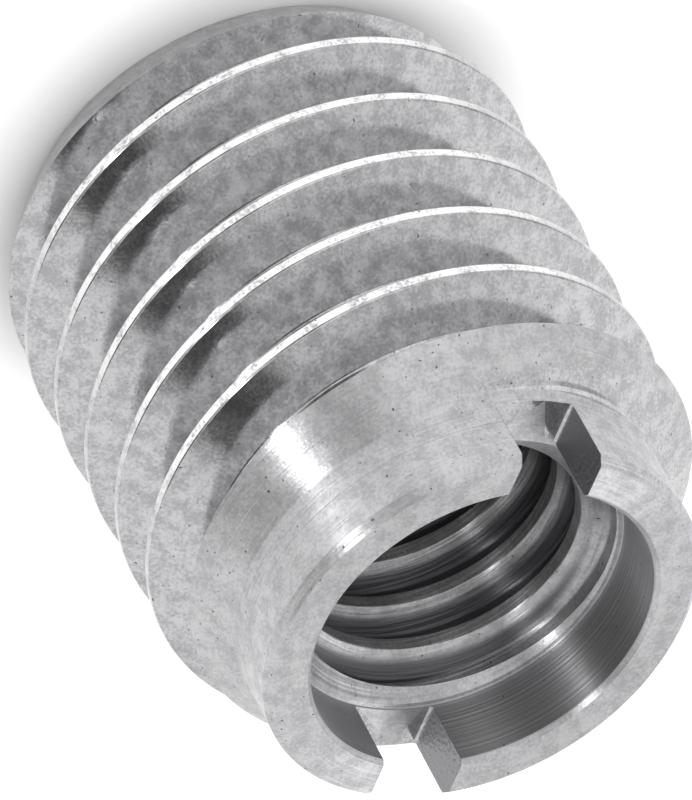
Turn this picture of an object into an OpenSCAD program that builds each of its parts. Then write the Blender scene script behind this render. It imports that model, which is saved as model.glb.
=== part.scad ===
// Thread adapter: a slotted bush with a coarse thread outside and a finer threaded hole inside.
// It stands on its plain end. +Z runs along the bore towards the slotted neck.
// Origin: centre of the plain end face. Millimetres.

/* [Outer thread] */
// Major diameter of the outer thread
outer_d = 12.7; // [12:0.1:14]
// Turns of the outer thread per 25.4 mm
outer_tpi = 13; // [12:1:14]
// Angle round the axis, from +X, at which a crest of the outer thread is level with the plain end face
outer_phase = 120; // [0:5:355]

/* [Body] */
// Length from the plain end face to the rim of the neck
body_len = 15.1; // [13:0.1:18]
// Length of the plain neck
neck_len = 1.95; // [1.6:0.05:2.5]
// How far the plain neck stands out past the root of the thread
neck_over_root = 0.05; // [0.04:0.01:0.3]
// Bevel round the outside of the neck's rim
rim_bevel = 0.2; // [0.05:0.05:0.4]
// Height of the step under the neck at which the last groove stops
groove_stop = 0.12; // [0.08:0.01:0.2]
// Angle between the axis and the cone that runs from the thread's crest to the neck
neck_cone_angle = 40; // [35:1:50]
// How far the edge of the plain end face stands out past the root of the thread
foot_over_root = 0.3; // [0.1:0.05:0.6]
// Angle between the axis and the foot's chamfer
foot_chamfer_angle = 30; // [25:1:50]

/* [Inner thread] */
// Major diameter of the inner thread, at the bottom of its groove
inner_d = 7.9; // [7.5:0.1:8.3]
// Turns of the inner thread per 25.4 mm
inner_tpi = 18; // [16:1:20]
// Angle round the axis, from +X, at which a crest of the inner thread is level with the plain end face
inner_phase = 210; // [0:5:355]
// Diameter of the hole at the crests of the inner thread
bore_d = 6.7; // [6.6:0.1:7]

/* [Recess and mouths] */
// How far the recess inside the neck stands outside the groove of the inner thread
recess_over_thread = 0.15; // [0.1:0.01:0.3]
// Depth of the recess below the rim
recess_depth = 1.9; // [1.6:0.05:2.2]
// How far the lead-in under the recess opens outside the groove of the inner thread
lead_over_thread = 0.03; // [0.02:0.01:0.06]
// How far the countersink in the plain end face opens outside the groove of the inner thread
foot_mouth_over_thread = 0.1; // [0.05:0.01:0.3]
// Bevel at the mouth of the recess
mouth_bevel = 0.1; // [0.05:0.05:0.3]

/* [Driver slot] */
// Width of the screwdriver slot
slot_w = 2; // [1:0.1:2.4]
// Depth of the slot below the rim
slot_depth = 1.85; // [1:0.05:1.9]

/* [Finish] */
// Steps round one turn of the outer thread
turn_steps = 72; // [48:12:84]
// Steps round one turn of the inner thread
inner_turn_steps = 48; // [36:12:60]

/* [Hidden] */
$fn = 96;
steel = [0.78, 0.79, 0.8];

outer_r = outer_d / 2;
outer_pitch = 25.4 / outer_tpi;
// 60 degree thread: flat crests an eighth of the pitch wide, root 0.6134 of the pitch below them
flank = tan(30);
crest_half = outer_pitch / 16;
root_r = outer_r - 0.6134 * outer_pitch;
neck_r = root_r + neck_over_root;
neck_z = body_len - neck_len;
inner_r = inner_d / 2;
inner_pitch = 25.4 / inner_tpi;
bore_r = bore_d / 2;
recess_r = inner_r + recess_over_thread;
slot_z = body_len - slot_depth;
recess_z = body_len - recess_depth;
foot_r = root_r + foot_over_root;
// Height that each chamfer gains for each millimetre of radius
foot_rise = 1 / tan(foot_chamfer_angle);
neck_rise = 1 / tan(neck_cone_angle);

// The ridge is sunk this far into the core it stands on
ridge_sink = 0.25;
sunk_r = root_r - ridge_sink;
// The ridge ends where its top has dropped this far below the root
end_drop = 0.07;
buried_r = root_r - end_drop;
// The flanks' outer corners go this much lower still, so that both are buried where the ridge ends
corner_drop = 0.03;
// A chamfer's corner is in the ridge's section while it lies this far inside the ridge's top
corner_margin = 0.02;
// The buried side of the ridge may run this far up into the neck
neck_reach = 0.8;
// The core starts this far below the plain end face, where it is cut off
foot_blank = 3;
// How far a cutter runs past the face it cuts
past = 1;
// How far the cutter of the inner groove reaches into the hole
groove_reach = 0.2;

// Crest heights at which the ridge comes out of the foot and goes into the neck
first_z = buried_r * (foot_rise + flank) - foot_r * foot_rise - crest_half - outer_r * flank;
last_z = neck_z + neck_r * neck_rise + crest_half + outer_r * flank - buried_r * (neck_rise + flank);
ridge_steps = floor((last_z - first_z) / outer_pitch * turn_steps);
ridge_start = outer_phase + 360 * first_z / outer_pitch;

// The chamfers at the two ends of the thread, as a height at each radius
function foot_chamfer_z(r) = (r - foot_r) * foot_rise;
function neck_cone_z(r) = neck_z + (neck_r - r) * neck_rise;

// Radius at which a flank of the ridge with its crest at height c meets the surface it is cut to
function low_r(c) = max(buried_r - corner_drop, min(
    outer_r,
    (foot_r * foot_rise + c - crest_half - outer_r * flank) / (foot_rise - flank),
    (neck_z + neck_r * neck_rise - c + crest_half + outer_r * flank) / (neck_rise + flank)));
function high_r(c) = max(buried_r - corner_drop, min(
    outer_r,
    (foot_r * foot_rise + c + crest_half + outer_r * flank) / (foot_rise + flank),
    (neck_z + neck_r * neck_rise - c - crest_half - outer_r * flank) / (neck_rise - flank)));

// Height on the cut surface at radius r, or on the flank itself where it is whole
function cut_z(r, z) = min(max(z, foot_chamfer_z(r)), neck_cone_z(r));
function low_z(c) = cut_z(low_r(c), c - crest_half - (outer_r - low_r(c)) * flank);
function high_z(c) = cut_z(high_r(c), c + crest_half + (outer_r - high_r(c)) * flank);

// Middle of the ridge's top, or the corner where the full crest turns into a chamfer
foot_corner_z = foot_chamfer_z(outer_r);
neck_corner_z = neck_cone_z(outer_r);
function is_in_top(z, c) = z > low_z(c) + corner_margin && z < high_z(c) - corner_margin;
function mid_z(c) =
    is_in_top(foot_corner_z, c) ? foot_corner_z :
    is_in_top(neck_corner_z, c) ? neck_corner_z :
    (low_z(c) + high_z(c)) / 2;
function mid_r(c) = min(
    outer_r,
    foot_r + mid_z(c) / foot_rise,
    neck_r + (neck_z - mid_z(c)) / neck_rise);

// Section of the ridge, as [radius, height], from its foot side to its neck side
function ridge_section(c) = [
    [sunk_r, c - crest_half - (outer_r - sunk_r) * flank],
    [low_r(c), low_z(c)],
    [mid_r(c), mid_z(c)],
    [high_r(c), high_z(c)],
    [sunk_r, min(c + crest_half + (outer_r - sunk_r) * flank, neck_z + neck_reach)]
];

function turned(p, a) = [p[0] * cos(a), p[0] * sin(a), p[1]];

// Triangles along a section of n points that is carried round the axis in so many steps
function worm_sides(n, steps) = [
    for (i = [0 : steps - 1])
        for (j = [0 : n - 1])
            for (half = [0, 1])
                let (a = i * n + j, b = i * n + (j + 1) % n)
                    half == 0 ? [a, b, b + n] : [a, b + n, a + n]
];

module outer_ridge() {
    n = 5;
    points = [
        for (i = [0 : ridge_steps])
            for (p = ridge_section(first_z + outer_pitch * i / turn_steps))
                turned(p, ridge_start + 360 * i / turn_steps)
    ];
    start_cap = [[0, 4, 1], [1, 4, 2], [2, 4, 3]];
    e = ridge_steps * n;
    end_cap = [[e, e + 1, e + 4], [e + 1, e + 2, e + 4], [e + 2, e + 3, e + 4]];
    polyhedron(points = points, faces = concat(worm_sides(n, ridge_steps), start_cap, end_cap), convexity = 20);
}

// Core the ridge stands on, with the neck; it starts below the foot and is cut off there
module core() {
    rotate_extrude()
        polygon([
            [0, -foot_blank],
            [root_r, -foot_blank],
            [root_r, neck_z - groove_stop - (neck_r - root_r)],
            [neck_r, neck_z - groove_stop],
            [neck_r, body_len - rim_bevel],
            [neck_r - rim_bevel, body_len],
            [0, body_len]
        ]);
}

// Everything turned inside the bush: foot countersink, hole, its lead-in, recess and mouth
module bore_cut() {
    foot_mouth_r = inner_r + foot_mouth_over_thread;
    lead_r = inner_r + lead_over_thread;
    rotate_extrude()
        polygon([
            [0, -past],
            [foot_mouth_r + past, -past],
            [bore_r, foot_mouth_r - bore_r],
            [bore_r, recess_z - (lead_r - bore_r)],
            [lead_r, recess_z],
            [recess_r, recess_z],
            [recess_r, body_len - mouth_bevel],
            [recess_r + mouth_bevel + past, body_len + past],
            [0, body_len + past]
        ]);
}

// Groove of the inner thread, half a turn on from its crests. The crests are a quarter of the pitch wide.
module inner_groove() {
    n = 4;
    mouth_half = inner_pitch * 3 / 8;
    root_half = mouth_half - (inner_r - bore_r) * flank;
    groove_start_z = -inner_pitch;
    steps = ceil((recess_z - groove_start_z) / inner_pitch + 0.5) * inner_turn_steps;
    start = inner_phase + 180 + 360 * groove_start_z / inner_pitch;
    section = [
        [bore_r - groove_reach, -mouth_half],
        [inner_r, -root_half],
        [inner_r, root_half],
        [bore_r - groove_reach, mouth_half]
    ];
    points = [
        for (i = [0 : steps])
            for (p = section)
                turned([p[0], p[1] + groove_start_z + inner_pitch * i / inner_turn_steps],
                    start + 360 * i / inner_turn_steps)
    ];
    polyhedron(
        points = points,
        faces = concat(worm_sides(n, steps), [[0, 3, 2, 1]], [[for (j = [0 : n - 1]) steps * n + j]]),
        convexity = 20);
}

module driver_slot() {
    translate([-outer_d, -slot_w / 2, slot_z])
        cube([2 * outer_d, slot_w, slot_depth + past]);
}

module adapter_bush() {
    color(steel)
        difference() {
            union() {
                core();
                outer_ridge();
            }
            translate([-outer_d, -outer_d, -2 * foot_blank])
                cube([2 * outer_d, 2 * outer_d, 2 * foot_blank]);
            bore_cut();
            inner_groove();
            driver_slot();
        }
}

adapter_bush();
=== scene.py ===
"""Looks of the thread adapter: a slotted bush with a coarse thread outside and a finer thread in its hole.

The bush stands on its plain end at the origin, +Z runs along the hole towards the slotted neck and
+X along the driver slot. Sizes below are in millimetres and repeat those of the CAD part.
"""
import math

import bmesh
import bpy
from mathutils import Matrix, Vector


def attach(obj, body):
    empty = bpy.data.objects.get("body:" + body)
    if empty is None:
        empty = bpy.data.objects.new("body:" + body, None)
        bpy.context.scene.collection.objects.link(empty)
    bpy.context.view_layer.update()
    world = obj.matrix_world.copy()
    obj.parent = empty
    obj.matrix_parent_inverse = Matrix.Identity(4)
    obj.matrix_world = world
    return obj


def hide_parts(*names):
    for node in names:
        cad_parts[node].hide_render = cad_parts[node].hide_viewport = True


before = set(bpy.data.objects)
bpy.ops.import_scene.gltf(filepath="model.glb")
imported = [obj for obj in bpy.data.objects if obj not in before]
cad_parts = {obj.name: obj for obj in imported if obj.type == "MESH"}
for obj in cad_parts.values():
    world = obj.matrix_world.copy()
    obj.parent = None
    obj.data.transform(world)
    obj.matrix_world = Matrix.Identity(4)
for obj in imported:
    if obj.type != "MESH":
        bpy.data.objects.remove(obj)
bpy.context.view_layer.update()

MM = 0.001

# ---------------------------------------------------------------- sizes
OUTER_R = 6.35
OUTER_PITCH = 25.4 / 13
OUTER_PHASE = math.radians(120)
BODY_LEN = 15.1
NECK_LEN = 1.95
RIM_BEVEL = 0.2
CONE_ANGLE = math.radians(40)
FOOT_ANGLE = math.radians(30)
BORE_R = 3.35
RECESS_R = 4.1
RECESS_DEPTH = 1.9
LEDGE_W = 0.12
MOUTH_BEVEL = 0.1
COUNTERSINK = 0.7
SLOT_W = 2.0
SLOT_DEPTH = 1.85

INNER_PITCH = 25.4 / 18
INNER_PHASE = math.radians(210)
INNER_ROOT_R = 3.95

# Both threads have 60 degree grooves
FLANK_ANGLE = math.radians(30)
FLANK = math.tan(FLANK_ANGLE)
OUTER_CREST = OUTER_PITCH / 16
INNER_CREST = INNER_PITCH / 8
ROOT_R = OUTER_R - 0.6134 * OUTER_PITCH
NECK_R = ROOT_R + 0.05
FOOT_R = ROOT_R + 0.3
NECK_Z = BODY_LEN - NECK_LEN
RECESS_Z = BODY_LEN - RECESS_DEPTH
SLOT_Z = BODY_LEN - SLOT_DEPTH
CONE_FOOT_Z = NECK_Z - (OUTER_R - NECK_R) / math.tan(CONE_ANGLE)

# Radii of the small rounds
EDGE = 0.04
OUTER_CREST_ROUND = 0.09
OUTER_ROOT_ROUND = 0.26
INNER_CREST_ROUND = 0.06
INNER_ROOT_ROUND = 0.12
NECK_FOOT_ROUND = 0.06
LEAD_ROUND = 0.02
SLOT_CORNER = 0.05

# A groove's cutter reaches this far past the crest, and its mouth opens at this angle
CUTTER_REACH = 0.3
CUTTER_STEP = 0.01
CUTTER_LEAD = math.radians(8)
# The outer groove starts to move out this far below the foot of the neck, and moves out by this much
LIFT_BELOW_NECK = 0.33
LIFT = 0.16
# How far the cutter of the slot runs past the rim
PAST_RIM = 1

# Steps round one turn, and in one small round
STEPS = 250
ARC_STEPS = 4
# Faces that meet at less than this are shaded as one smooth surface
SMOOTH_ANGLE = math.radians(18)
# Points closer than this are one point
JOIN_GAP = 0.001


def direction(azimuth, elevation):
    """Unit vector towards an azimuth from +X and an elevation, both in degrees."""
    a, e = math.radians(azimuth), math.radians(elevation)
    return Vector((math.cos(a) * math.cos(e), math.sin(a) * math.cos(e), math.sin(e)))


# ---------------------------------------------------------------- mesh helpers
def new_object(name, verts, faces):
    """An object in the scene from points and faces."""
    mesh = bpy.data.meshes.new(name)
    mesh.from_pydata(verts, [], faces)
    mesh.validate()
    obj = bpy.data.objects.new(name, mesh)
    bpy.context.scene.collection.objects.link(obj)
    return obj


def outward(obj):
    """Turns every face of a closed mesh to point out of its solid."""
    bm = bmesh.new()
    bm.from_mesh(obj.data)
    bmesh.ops.recalc_face_normals(bm, faces=bm.faces)
    bm.to_mesh(obj.data)
    bm.free()
    return obj


def rounded(loop, radii):
    """A closed (r, z) loop with some of its corners rounded; radii maps a corner's index to its radius."""
    out = []
    n = len(loop)
    for i, (r, z) in enumerate(loop):
        if i not in radii:
            out.append((r, z))
            continue
        p = Vector((r, z))
        a = (Vector(loop[i - 1]) - p).normalized()
        b = (Vector(loop[(i + 1) % n]) - p).normalized()
        half = a.angle(b) / 2
        cut = radii[i] / math.tan(half)
        centre = p + (a + b).normalized() * (radii[i] / math.sin(half))
        start, end = p + a * cut - centre, p + b * cut - centre
        for k in range(ARC_STEPS + 1):
            out.append(tuple(centre + start.lerp(end, k / ARC_STEPS).normalized() * radii[i]))
    return out


def revolve(name, loop):
    """A closed ring with the (r, z) loop as its section."""
    n = len(loop)
    verts, faces = [], []
    for i in range(STEPS):
        a = 2 * math.pi * i / STEPS
        verts += [(r * math.cos(a), r * math.sin(a), z) for r, z in loop]
    for i in range(STEPS):
        for j in range(n):
            k, m = (j + 1) % n, (i + 1) % STEPS
            faces.append((i * n + j, m * n + j, m * n + k, i * n + k))
    return outward(new_object(name, verts, faces))


def helix(name, section, angles, heights, lifts):
    """A closed worm: the (r, z) section at each angle, raised to each height and moved out by each lift."""
    n = len(section)
    verts, faces = [], []
    for a, h, out in zip(angles, heights, lifts):
        verts += [((r + out) * math.cos(a), (r + out) * math.sin(a), z + h) for r, z in section]
    for i in range(len(angles) - 1):
        for j in range(n):
            k = (j + 1) % n
            faces.append((i * n + j, (i + 1) * n + j, (i + 1) * n + k, i * n + k))
    last = (len(angles) - 1) * n
    faces.append(tuple(range(n)))
    faces.append(tuple(last + j for j in reversed(range(n))))
    return outward(new_object(name, verts, faces))


def tidy(mesh):
    """Splits every face into triangles and drops points that no face uses."""
    bm = bmesh.new()
    bm.from_mesh(mesh)
    bmesh.ops.triangulate(bm, faces=bm.faces, ngon_method="EAR_CLIP")
    bmesh.ops.delete(bm, geom=[v for v in bm.verts if not v.link_faces], context="VERTS")
    bm.to_mesh(mesh)
    bm.free()


def drop_slivers(mesh):
    """Joins points closer than JOIN_GAP and drops the faces without area that this and the cuts leave."""
    bm = bmesh.new()
    bm.from_mesh(mesh)
    bmesh.ops.remove_doubles(bm, verts=bm.verts, dist=JOIN_GAP)
    bmesh.ops.dissolve_degenerate(bm, dist=JOIN_GAP / 2, edges=bm.edges)
    bmesh.ops.triangulate(bm, faces=bm.faces)
    bm.to_mesh(mesh)
    bm.free()


def apply_modifiers(obj):
    """Replaces an object's mesh with the one that its modifiers make of it."""
    graph = bpy.context.evaluated_depsgraph_get()
    mesh = bpy.data.meshes.new_from_object(obj.evaluated_get(graph))
    obj.modifiers.clear()
    old = obj.data
    obj.data = mesh
    bpy.data.meshes.remove(old)


def cut(target, cutter):
    """Takes the cutter's solid out of the target's, and removes the cutter."""
    mod = target.modifiers.new("cut", "BOOLEAN")
    mod.operation = "DIFFERENCE"
    mod.solver = "MANIFOLD"
    mod.object = cutter
    apply_modifiers(target)
    bpy.data.objects.remove(cutter)
    tidy(target.data)


# ---------------------------------------------------------------- the bush
def blank():
    """The bush as turned, before its threads and slot are cut."""
    foot_top = (OUTER_R - FOOT_R) / math.tan(FOOT_ANGLE)
    lead_r = RECESS_R - LEDGE_W
    loop = [
        (BORE_R + COUNTERSINK, 0),
        (FOOT_R, 0),
        (OUTER_R, foot_top),
        (OUTER_R, CONE_FOOT_Z),
        (NECK_R, NECK_Z),
        (NECK_R, BODY_LEN - RIM_BEVEL),
        (NECK_R - RIM_BEVEL, BODY_LEN),
        (RECESS_R + MOUTH_BEVEL, BODY_LEN),
        (RECESS_R, BODY_LEN - MOUTH_BEVEL),
        (RECESS_R, RECESS_Z),
        (lead_r, RECESS_Z),
        (BORE_R, RECESS_Z - (lead_r - BORE_R)),
        (BORE_R, COUNTERSINK),
    ]
    radii = {0: EDGE, 1: EDGE, 4: NECK_FOOT_ROUND, 9: EDGE, 10: LEAD_ROUND}
    return revolve("bush", rounded(loop, radii))


def groove_section(crest_r, root_r, mouth, crest_round, root_round):
    """Section of a thread's groove in (r, z), twice `mouth` wide at its mouth, round at crest and root."""
    out = 1 if crest_r > root_r else -1
    depth = abs(crest_r - root_r)
    crest_z = mouth + crest_round * (1 / math.cos(FLANK_ANGLE) - FLANK)
    root_z = mouth - (depth - root_round) * FLANK - root_round / math.cos(FLANK_ANGLE)
    side = [(-CUTTER_REACH, crest_z), (-CUTTER_STEP, crest_z)]
    for k in range(ARC_STEPS + 1):
        turn = CUTTER_LEAD + (math.pi / 2 - FLANK_ANGLE - CUTTER_LEAD) * k / ARC_STEPS
        side.append((crest_round * (1 - math.cos(turn)), crest_z - crest_round * math.sin(turn)))
    for k in range(ARC_STEPS + 1):
        turn = (math.pi / 2 - FLANK_ANGLE) * (1 - k / ARC_STEPS)
        side.append((depth - root_round * (1 - math.cos(turn)), root_z + root_round * math.sin(turn)))
    side = [(crest_r - out * down, z) for down, z in side]
    return [(r, -z) for r, z in side] + [(r, z) for r, z in reversed(side)]


def groove(name, section, pitch, phase, top, lift_z, lift):
    """A thread's groove from below the foot up to `top`; from lift_z on it is moved out by up to `lift`."""
    # crests are level with the foot at the phase angle, so grooves are half a turn on
    zero = phase + math.pi
    start = round((zero / (2 * math.pi) - 1) * STEPS) / STEPS * 2 * math.pi
    steps = math.ceil((top / pitch + 1) * STEPS)
    angles = [start + 2 * math.pi * i / STEPS for i in range(steps)]
    heights = [(a - zero) / (2 * math.pi) * pitch for a in angles]
    lifts = [min(max(h - lift_z, 0), lift) for h in heights]
    return helix(name, section, angles, heights, lifts)


def outer_groove():
    """The groove of the outer thread, which runs off the foot and moves out beside the neck."""
    mouth = OUTER_PITCH / 2 - OUTER_CREST
    section = groove_section(OUTER_R, ROOT_R, mouth, OUTER_CREST_ROUND, OUTER_ROOT_ROUND)
    top = NECK_Z + OUTER_PITCH
    lift_z = NECK_Z - LIFT_BELOW_NECK
    return groove("outer_groove", section, OUTER_PITCH, OUTER_PHASE, top, lift_z, LIFT)


def inner_groove():
    """The groove of the inner thread, cut from the hole into the wall."""
    mouth = INNER_PITCH / 2 - INNER_CREST
    section = groove_section(BORE_R, INNER_ROOT_R, mouth, INNER_CREST_ROUND, INNER_ROOT_ROUND)
    top = RECESS_Z + INNER_PITCH
    return groove("inner_groove", section, INNER_PITCH, INNER_PHASE, top, top, 0)


def slot_bar():
    """The bar of space that the driver slot takes out of the neck."""
    half = SLOT_W / 2
    top = BODY_LEN + PAST_RIM
    far = OUTER_R * 2
    corner = SLOT_CORNER
    outline = [
        (-half, top),
        (-half, SLOT_Z + corner),
        (-half + corner, SLOT_Z),
        (half - corner, SLOT_Z),
        (half, SLOT_Z + corner),
        (half, top),
    ]
    n = len(outline)
    verts = [(x, y, z) for x in (-far, far) for y, z in outline]
    faces = [(j, (j + 1) % n, n + (j + 1) % n, n + j) for j in range(n)]
    faces += [tuple(range(n)), tuple(n + j for j in reversed(range(n)))]
    return outward(new_object("slot_bar", verts, faces))


def make_bush():
    """The whole bush: turned, with its grooves and slot cut, and scaled from millimetres to metres."""
    bush = blank()
    cut(bush, outer_groove())
    cut(bush, inner_groove())
    cut(bush, slot_bar())
    drop_slivers(bush.data)
    bush.data.polygons.foreach_set("use_smooth", [True] * len(bush.data.polygons))
    bush.data.set_sharp_from_angle(angle=SMOOTH_ANGLE)
    weighted = bush.modifiers.new("even_shading", "WEIGHTED_NORMAL")
    weighted.keep_sharp = True
    apply_modifiers(bush)
    # all of this is done in millimetres, because cutting is too coarse for so small a part in metres
    bush.data.transform(Matrix.Scale(MM, 4))
    return bush


# ---------------------------------------------------------------- materials
# Cells of noise for each metre: broad clouds, fine grain, small pits and turning lines
CLOUD_SCALE = 2500.0
GRAIN_SCALE = 13000.0
PIT_SCALE = 11000.0
LINE_SCALE = 9000.0

PIT_TONE = (0.15, 0.15, 0.16)
THREAD_DARK = (0.38, 0.38, 0.39)
THREAD_LIGHT = (0.57, 0.57, 0.58)
# Near white colour of the crests on one side: a painted highlight
CREST_PAINTED_HIGHLIGHT = (0.9, 0.9, 0.9)
TURNED_DARK = (0.44, 0.44, 0.45)
TURNED_LIGHT = (0.61, 0.61, 0.62)
# Painted shade: the inner grooves, the recess wall and the slot walls get these darker colours
INNER_GROOVE_PAINTED_SHADE = (0.14, 0.14, 0.15)
RECESS_WALL_PAINTED_SHADE = (0.46, 0.46, 0.47)
SLOT_WALL_PAINTED_SHADE = (0.28, 0.28, 0.29)

# Azimuth of the side on which the crests of the outer thread get a painted highlight
PAINTED_HIGHLIGHT_SIDE = -145
BUMP_STRENGTH = 0.5
BUMP_DEPTH = 0.00002
TURNED_ROUGHNESS = 0.36
TURNED_STRETCH = 0.95
THREAD_STRETCH = 0.2
# Turns a highlight's long side from round the axis to along it
QUARTER_TURN = 0.25
# A face belongs to the thread when it lies this far below the cone and this far outside the recess
CONE_MARGIN = 0.02
THREAD_MARGIN = 0.6


class Nodes:
    """Short names for building a node tree."""

    def __init__(self, tree):
        self.tree = tree
        self.tree.nodes.clear()

    def add(self, kind, settings=None, **inputs):
        node = self.tree.nodes.new(kind)
        for name, value in (settings or {}).items():
            setattr(node, name, value)
        for name, value in inputs.items():
            # i0, i1 and so on are sockets by number, for nodes whose sockets share a name
            by_number = name[0] == "i" and name[1:].isdigit()
            socket = node.inputs[int(name[1:])] if by_number else node.inputs[name]
            if isinstance(value, bpy.types.NodeSocket):
                self.tree.links.new(value, socket)
            else:
                socket.default_value = value
        return node

    def math(self, operation, a, b=0.0, c=0.0):
        return self.add("ShaderNodeMath", {"operation": operation}, i0=a, i1=b, i2=c).outputs[0]

    def link(self, a, b):
        self.tree.links.new(a, b)

    def dot(self, a, b):
        """Dot product of two vectors, each a socket or fixed."""
        return self.add("ShaderNodeVectorMath", {"operation": "DOT_PRODUCT"}, i0=a, i1=b).outputs["Value"]

    def noise(self, place, scale, detail):
        """Noise from 0 to 1; the scale is in cells for each unit of the place."""
        return self.add("ShaderNodeTexNoise", None, Vector=place, Scale=scale, Detail=detail).outputs["Fac"]

    def ramp(self, value, low, high):
        """0 at low and 1 at high, smooth between and level outside; high may be the smaller one."""
        smooth = {"interpolation_type": "SMOOTHSTEP"}
        return self.add("ShaderNodeMapRange", smooth, i0=value, i1=low, i2=high).outputs[0]

    def mix(self, share, a, b):
        """Colour a, turned to colour b by the share; a colour is a socket or an (r, g, b)."""
        node = self.add("ShaderNodeMix", {"data_type": "RGBA"}, i0=share)
        for index, colour in ((6, a), (7, b)):
            if isinstance(colour, tuple):
                node.inputs[index].default_value = (*colour, 1)
            else:
                self.link(colour, node.inputs[index])
        return node.outputs[2]


def steel_tree(name):
    """A new steel material: its nodes, its place in the bush, radius, y and height there, and its grain."""
    mat = bpy.data.materials.new(name)
    mat.use_nodes = True
    n = Nodes(mat.node_tree)
    place = n.add("ShaderNodeTexCoord").outputs["Object"]
    sep = n.add("ShaderNodeSeparateXYZ", Vector=place)
    x, y, z = (sep.outputs[k] for k in "XYZ")
    r = n.math("SQRT", n.math("ADD", n.math("MULTIPLY", x, x), n.math("MULTIPLY", y, y)))
    cloud = n.noise(place, CLOUD_SCALE, 3.0)
    grain = n.math("MULTIPLY", n.noise(place, GRAIN_SCALE, 4.0), 0.5)
    mottle = n.math("MULTIPLY_ADD", cloud, 0.5, grain)
    return mat, n, place, r, y, z, mottle


def finish_steel(n, place, tone, rough, height, stretch):
    """Adds small pits, and the shader with its highlights stretched along the axis."""
    pits = n.ramp(n.noise(place, PIT_SCALE, 0.0), 0.2, 0.14)
    tone = n.mix(pits, tone, PIT_TONE)
    bump = n.add("ShaderNodeBump", None, Strength=BUMP_STRENGTH, Distance=BUMP_DEPTH, Height=height)
    around = n.add("ShaderNodeTangent", {"direction_type": "RADIAL", "axis": "Z"})
    normal = bump.outputs[0]
    shader = n.add("ShaderNodeBsdfPrincipled", None, Metallic=1.0, Roughness=rough, Normal=normal)
    shader.inputs["Anisotropic"].default_value = stretch
    shader.inputs["Anisotropic Rotation"].default_value = QUARTER_TURN
    n.link(around.outputs[0], shader.inputs["Tangent"])
    n.link(tone, shader.inputs["Base Color"])
    n.link(shader.outputs[0], n.add("ShaderNodeOutputMaterial").inputs[0])


def thread_material():
    """Cut thread: smooth mottled flanks, and crests painted near white on one side, a painted highlight."""
    mat, n, place, r, _, _, mottle = steel_tree("thread_steel")
    # Crests on one side are painted near white in patches that follow the mottle: a painted highlight
    highlight_side = n.dot(place, direction(PAINTED_HIGHLIGHT_SIDE, 0))
    highlight_side = n.math("DIVIDE", highlight_side, OUTER_R * MM)
    painted_highlight = n.ramp(r, (OUTER_R - 0.008) * MM, (OUTER_R - 0.003) * MM)
    painted_highlight = n.math("MULTIPLY", painted_highlight, n.ramp(highlight_side, 0.4, 0.8))
    painted_highlight = n.math("MULTIPLY", painted_highlight, n.ramp(mottle, 0.3, 0.55))
    tone = n.mix(n.ramp(mottle, 0.38, 0.62), THREAD_DARK, THREAD_LIGHT)
    tone = n.mix(painted_highlight, tone, CREST_PAINTED_HIGHLIGHT)
    rough = n.math("MULTIPLY_ADD", mottle, 0.08, 0.1)
    height = n.math("MULTIPLY", mottle, 0.25)
    finish_steel(n, place, tone, rough, height, THREAD_STRETCH)
    return mat


def turned_material():
    """Turned faces: fine lines round the axis, and painted shade in the inner grooves, on the recess wall
    and on the slot walls.
    """
    mat, n, place, r, y, z, mottle = steel_tree("turned_steel")
    across = n.math("MULTIPLY", r, LINE_SCALE)
    along = n.math("MULTIPLY", z, LINE_SCALE)
    rings = n.add("ShaderNodeCombineXYZ", X=across, Y=along, Z=0.0)
    lines = n.noise(rings.outputs[0], 1.0, 2.0)

    # Painted shade in the grooves of the inner thread
    groove_in = n.ramp(r, (BORE_R + 0.1) * MM, (BORE_R + 0.35) * MM)
    groove_out = n.ramp(r, RECESS_R * MM, (RECESS_R - 0.05) * MM)
    groove_top = n.ramp(z, (RECESS_Z - 0.55) * MM, (RECESS_Z - 0.7) * MM)
    groove = n.math("MULTIPLY", n.math("MULTIPLY", groove_out, groove_in), groove_top)

    # Painted shade on the wall of the recess
    wall_side = n.ramp(r, (RECESS_R + 0.03) * MM, (RECESS_R + 0.01) * MM)
    wall = n.math("MULTIPLY", wall_side, n.ramp(z, RECESS_Z * MM, (RECESS_Z + 0.02) * MM))

    # Painted shade on the walls of the slot
    aside = n.math("ABSOLUTE", y)
    slot_side = n.ramp(aside, (SLOT_W / 2 + 0.02) * MM, (SLOT_W / 2 + 0.005) * MM)
    slot = n.math("MULTIPLY", slot_side, n.ramp(z, (SLOT_Z + 0.05) * MM, (SLOT_Z + 0.15) * MM))

    tone = n.mix(n.ramp(mottle, 0.36, 0.64), TURNED_DARK, TURNED_LIGHT)
    tone = n.mix(groove, tone, INNER_GROOVE_PAINTED_SHADE)
    tone = n.mix(wall, tone, RECESS_WALL_PAINTED_SHADE)
    tone = n.mix(slot, tone, SLOT_WALL_PAINTED_SHADE)
    height = n.math("MULTIPLY_ADD", mottle, 0.4, n.math("MULTIPLY", lines, 3.2))
    finish_steel(n, place, tone, TURNED_ROUGHNESS, height, TURNED_STRETCH)
    return mat


def dress(bush):
    """Gives the outer thread its own material, and every other face the turned one."""
    bush.data.materials.clear()
    bush.data.materials.append(turned_material())
    bush.data.materials.append(thread_material())
    for face in bush.data.polygons:
        centre = face.center / MM
        r = centre.xy.length
        cone_z = CONE_FOOT_Z + (OUTER_R - r) / math.tan(CONE_ANGLE)
        below_cone = centre.z < cone_z - CONE_MARGIN
        outside = r > RECESS_R + THREAD_MARGIN
        above_foot = centre.z > EDGE
        face.material_index = 1 if below_cone and outside and above_foot else 0


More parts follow.
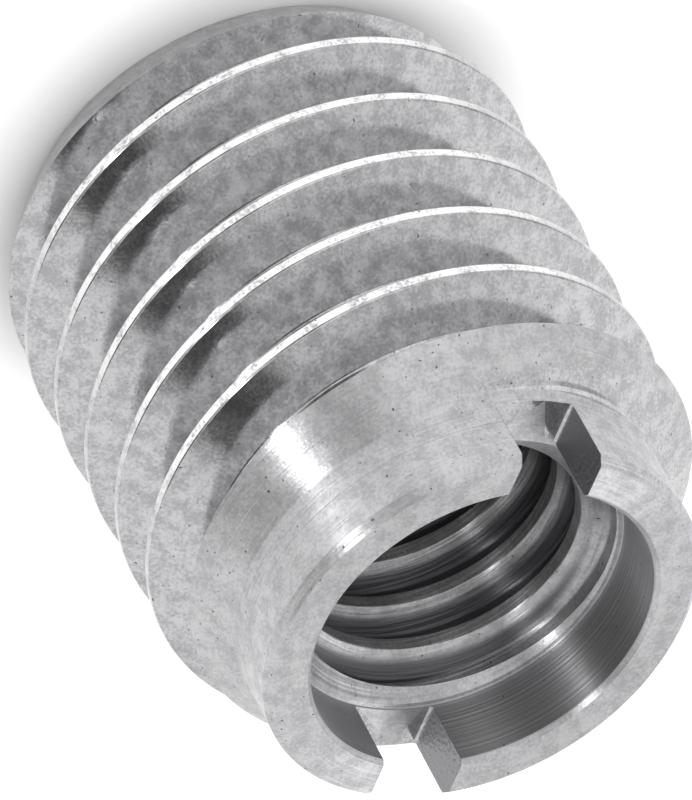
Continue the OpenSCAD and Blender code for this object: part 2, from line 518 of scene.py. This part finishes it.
# ---------------------------------------------------------------- stage, lights and camera
# The camera looks at AIM from this far, in millimetres; angles are in degrees
AIM = (-0.07, -0.38, 7.47)
CAMERA_DISTANCE = 254.0
CAMERA_AZIMUTH = -139.23
CAMERA_ELEVATION = 40.79
CAMERA_ROLL = 151.34
CAMERA_LENS = 506.5

# Half the side of the floor, in metres, its colour, and the glow that turns it white
FLOOR_HALF = 3
FLOOR_GREY = 0.75
FLOOR_GLOW = 0.45
# The glow fades in between these distances from the axis, which paints a shadow on the floor under and
# right round the foot, over the real shadow
GLOW_FROM = 0.9 * FOOT_R * MM
GLOW_FULL = 1.4 * FOOT_R * MM

# Soft regions of the studio: azimuth, elevation, inner and outer radius, in degrees, and brightness
STUDIO_BASE = 0.97
STUDIO = [
    (80, 15, 15, 50, 1.2),
    (115, 15, 8, 25, 0.65),
    (340, 35, 10, 35, 1.1),
    (195, 42, 8, 28, 1.3),
    (165, 75, 8, 22, 0.8),
    (225, 17, 12, 20, 0.15),
    (282, 8, 12, 28, 0.05),
    (274, 66, 9, 18, 0.1),
]

# Lamps: name, azimuth and elevation in degrees, width and height in metres, and power in watts
LAMPS = [
    ("strip", 256, 27, (0.04, 0.55), 0.9),
    ("key", 78, 52, (0.22, 0.22), 0.3),
]
LAMP_DISTANCE = 0.6


def camera_axes():
    """Right, up and back of the camera, as unit vectors."""
    roll = math.radians(CAMERA_ROLL)
    back = direction(CAMERA_AZIMUTH, CAMERA_ELEVATION)
    right = Vector((0, 0, 1)).cross(back).normalized()
    up = back.cross(right)
    rolled_right = right * math.cos(roll) + up * math.sin(roll)
    rolled_up = up * math.cos(roll) - right * math.sin(roll)
    return rolled_right, rolled_up, back


def make_camera():
    """The camera, set to the view of the photo."""
    right, up, back = camera_axes()
    data = bpy.data.cameras.new("camera")
    data.lens = CAMERA_LENS
    data.clip_start = 0.01
    data.clip_end = 20
    cam = bpy.data.objects.new("camera", data)
    turn = Matrix((right, up, back)).transposed().to_4x4()
    cam.matrix_world = Matrix.Translation(Vector(AIM) * MM + back * CAMERA_DISTANCE * MM) @ turn
    bpy.context.scene.collection.objects.link(cam)
    bpy.context.scene.camera = cam


def area_light(name, toward, distance, size, power):
    """A rectangular lamp that faces the middle of the bush from the given direction."""
    data = bpy.data.lights.new(name, "AREA")
    data.shape = "RECTANGLE"
    data.size, data.size_y = size
    data.energy = power
    lamp = bpy.data.objects.new(name, data)
    lamp.location = Vector((0, 0, BODY_LEN / 2 * MM)) + toward * distance
    lamp.rotation_mode = "QUATERNION"
    lamp.rotation_quaternion = toward.to_track_quat("Z", "Y")
    bpy.context.scene.collection.objects.link(lamp)


def make_floor():
    """A pale floor that looks white round the bush and keeps its shadow."""
    far = FLOOR_HALF
    verts = [(-far, -far, 0), (far, -far, 0), (far, far, 0), (-far, far, 0)]
    floor = new_object("floor", verts, [(0, 1, 2, 3)])
    mat = bpy.data.materials.new("pale_floor")
    mat.use_nodes = True
    n = Nodes(mat.node_tree)
    path = n.add("ShaderNodeLightPath").outputs
    seen = n.math("MAXIMUM", path["Is Camera Ray"], path["Is Glossy Ray"])
    seen = n.math("MAXIMUM", seen, path["Is Transmission Ray"])
    place = n.add("ShaderNodeTexCoord").outputs["Object"]
    away = n.add("ShaderNodeVectorMath", {"operation": "LENGTH"}, i0=place).outputs["Value"]
    # No glow close round the axis: a painted shadow on the floor under and round the foot
    clear = n.ramp(away, GLOW_FROM, GLOW_FULL)
    glow = n.math("MULTIPLY", n.math("MULTIPLY", seen, clear), FLOOR_GLOW)
    base = n.add("ShaderNodeBsdfDiffuse", None, Color=(FLOOR_GREY, FLOOR_GREY, FLOOR_GREY, 1))
    glow = n.add("ShaderNodeEmission", None, Color=(1, 1, 1, 1), Strength=glow)
    both = n.add("ShaderNodeAddShader")
    n.link(base.outputs[0], both.inputs[0])
    n.link(glow.outputs[0], both.inputs[1])
    n.link(both.outputs[0], n.add("ShaderNodeOutputMaterial").inputs[0])
    floor.data.materials.append(mat)


def make_world():
    """A studio that is pale all round, with soft lighter and darker regions."""
    world = bpy.data.worlds.new("studio")
    bpy.context.scene.world = world
    world.use_nodes = True
    n = Nodes(world.node_tree)
    toward = n.add("ShaderNodeTexCoord").outputs["Generated"]
    level = STUDIO_BASE
    for azimuth, elevation, inner, outer, brightness in STUDIO:
        centre = direction(azimuth, elevation)
        near = n.dot(toward, centre)
        share = n.ramp(near, math.cos(math.radians(outer)), math.cos(math.radians(inner)))
        # level + share * (brightness - level)
        level = n.math("MULTIPLY_ADD", share, n.math("SUBTRACT", brightness, level), level)
    grey = n.add("ShaderNodeBackground", None, Color=(1, 1, 1, 1), Strength=level)
    n.link(grey.outputs[0], n.add("ShaderNodeOutputWorld").inputs[0])


# ---------------------------------------------------------------- putting it together
bush = make_bush()
dress(bush)
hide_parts("adapter_bush")
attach(bush, "root")

make_camera()
make_floor()
make_world()
for name, azimuth, elevation, size, power in LAMPS:
    area_light(name, direction(azimuth, elevation), LAMP_DISTANCE, size, power)
bpy.context.scene.view_settings.view_transform = "Standard"
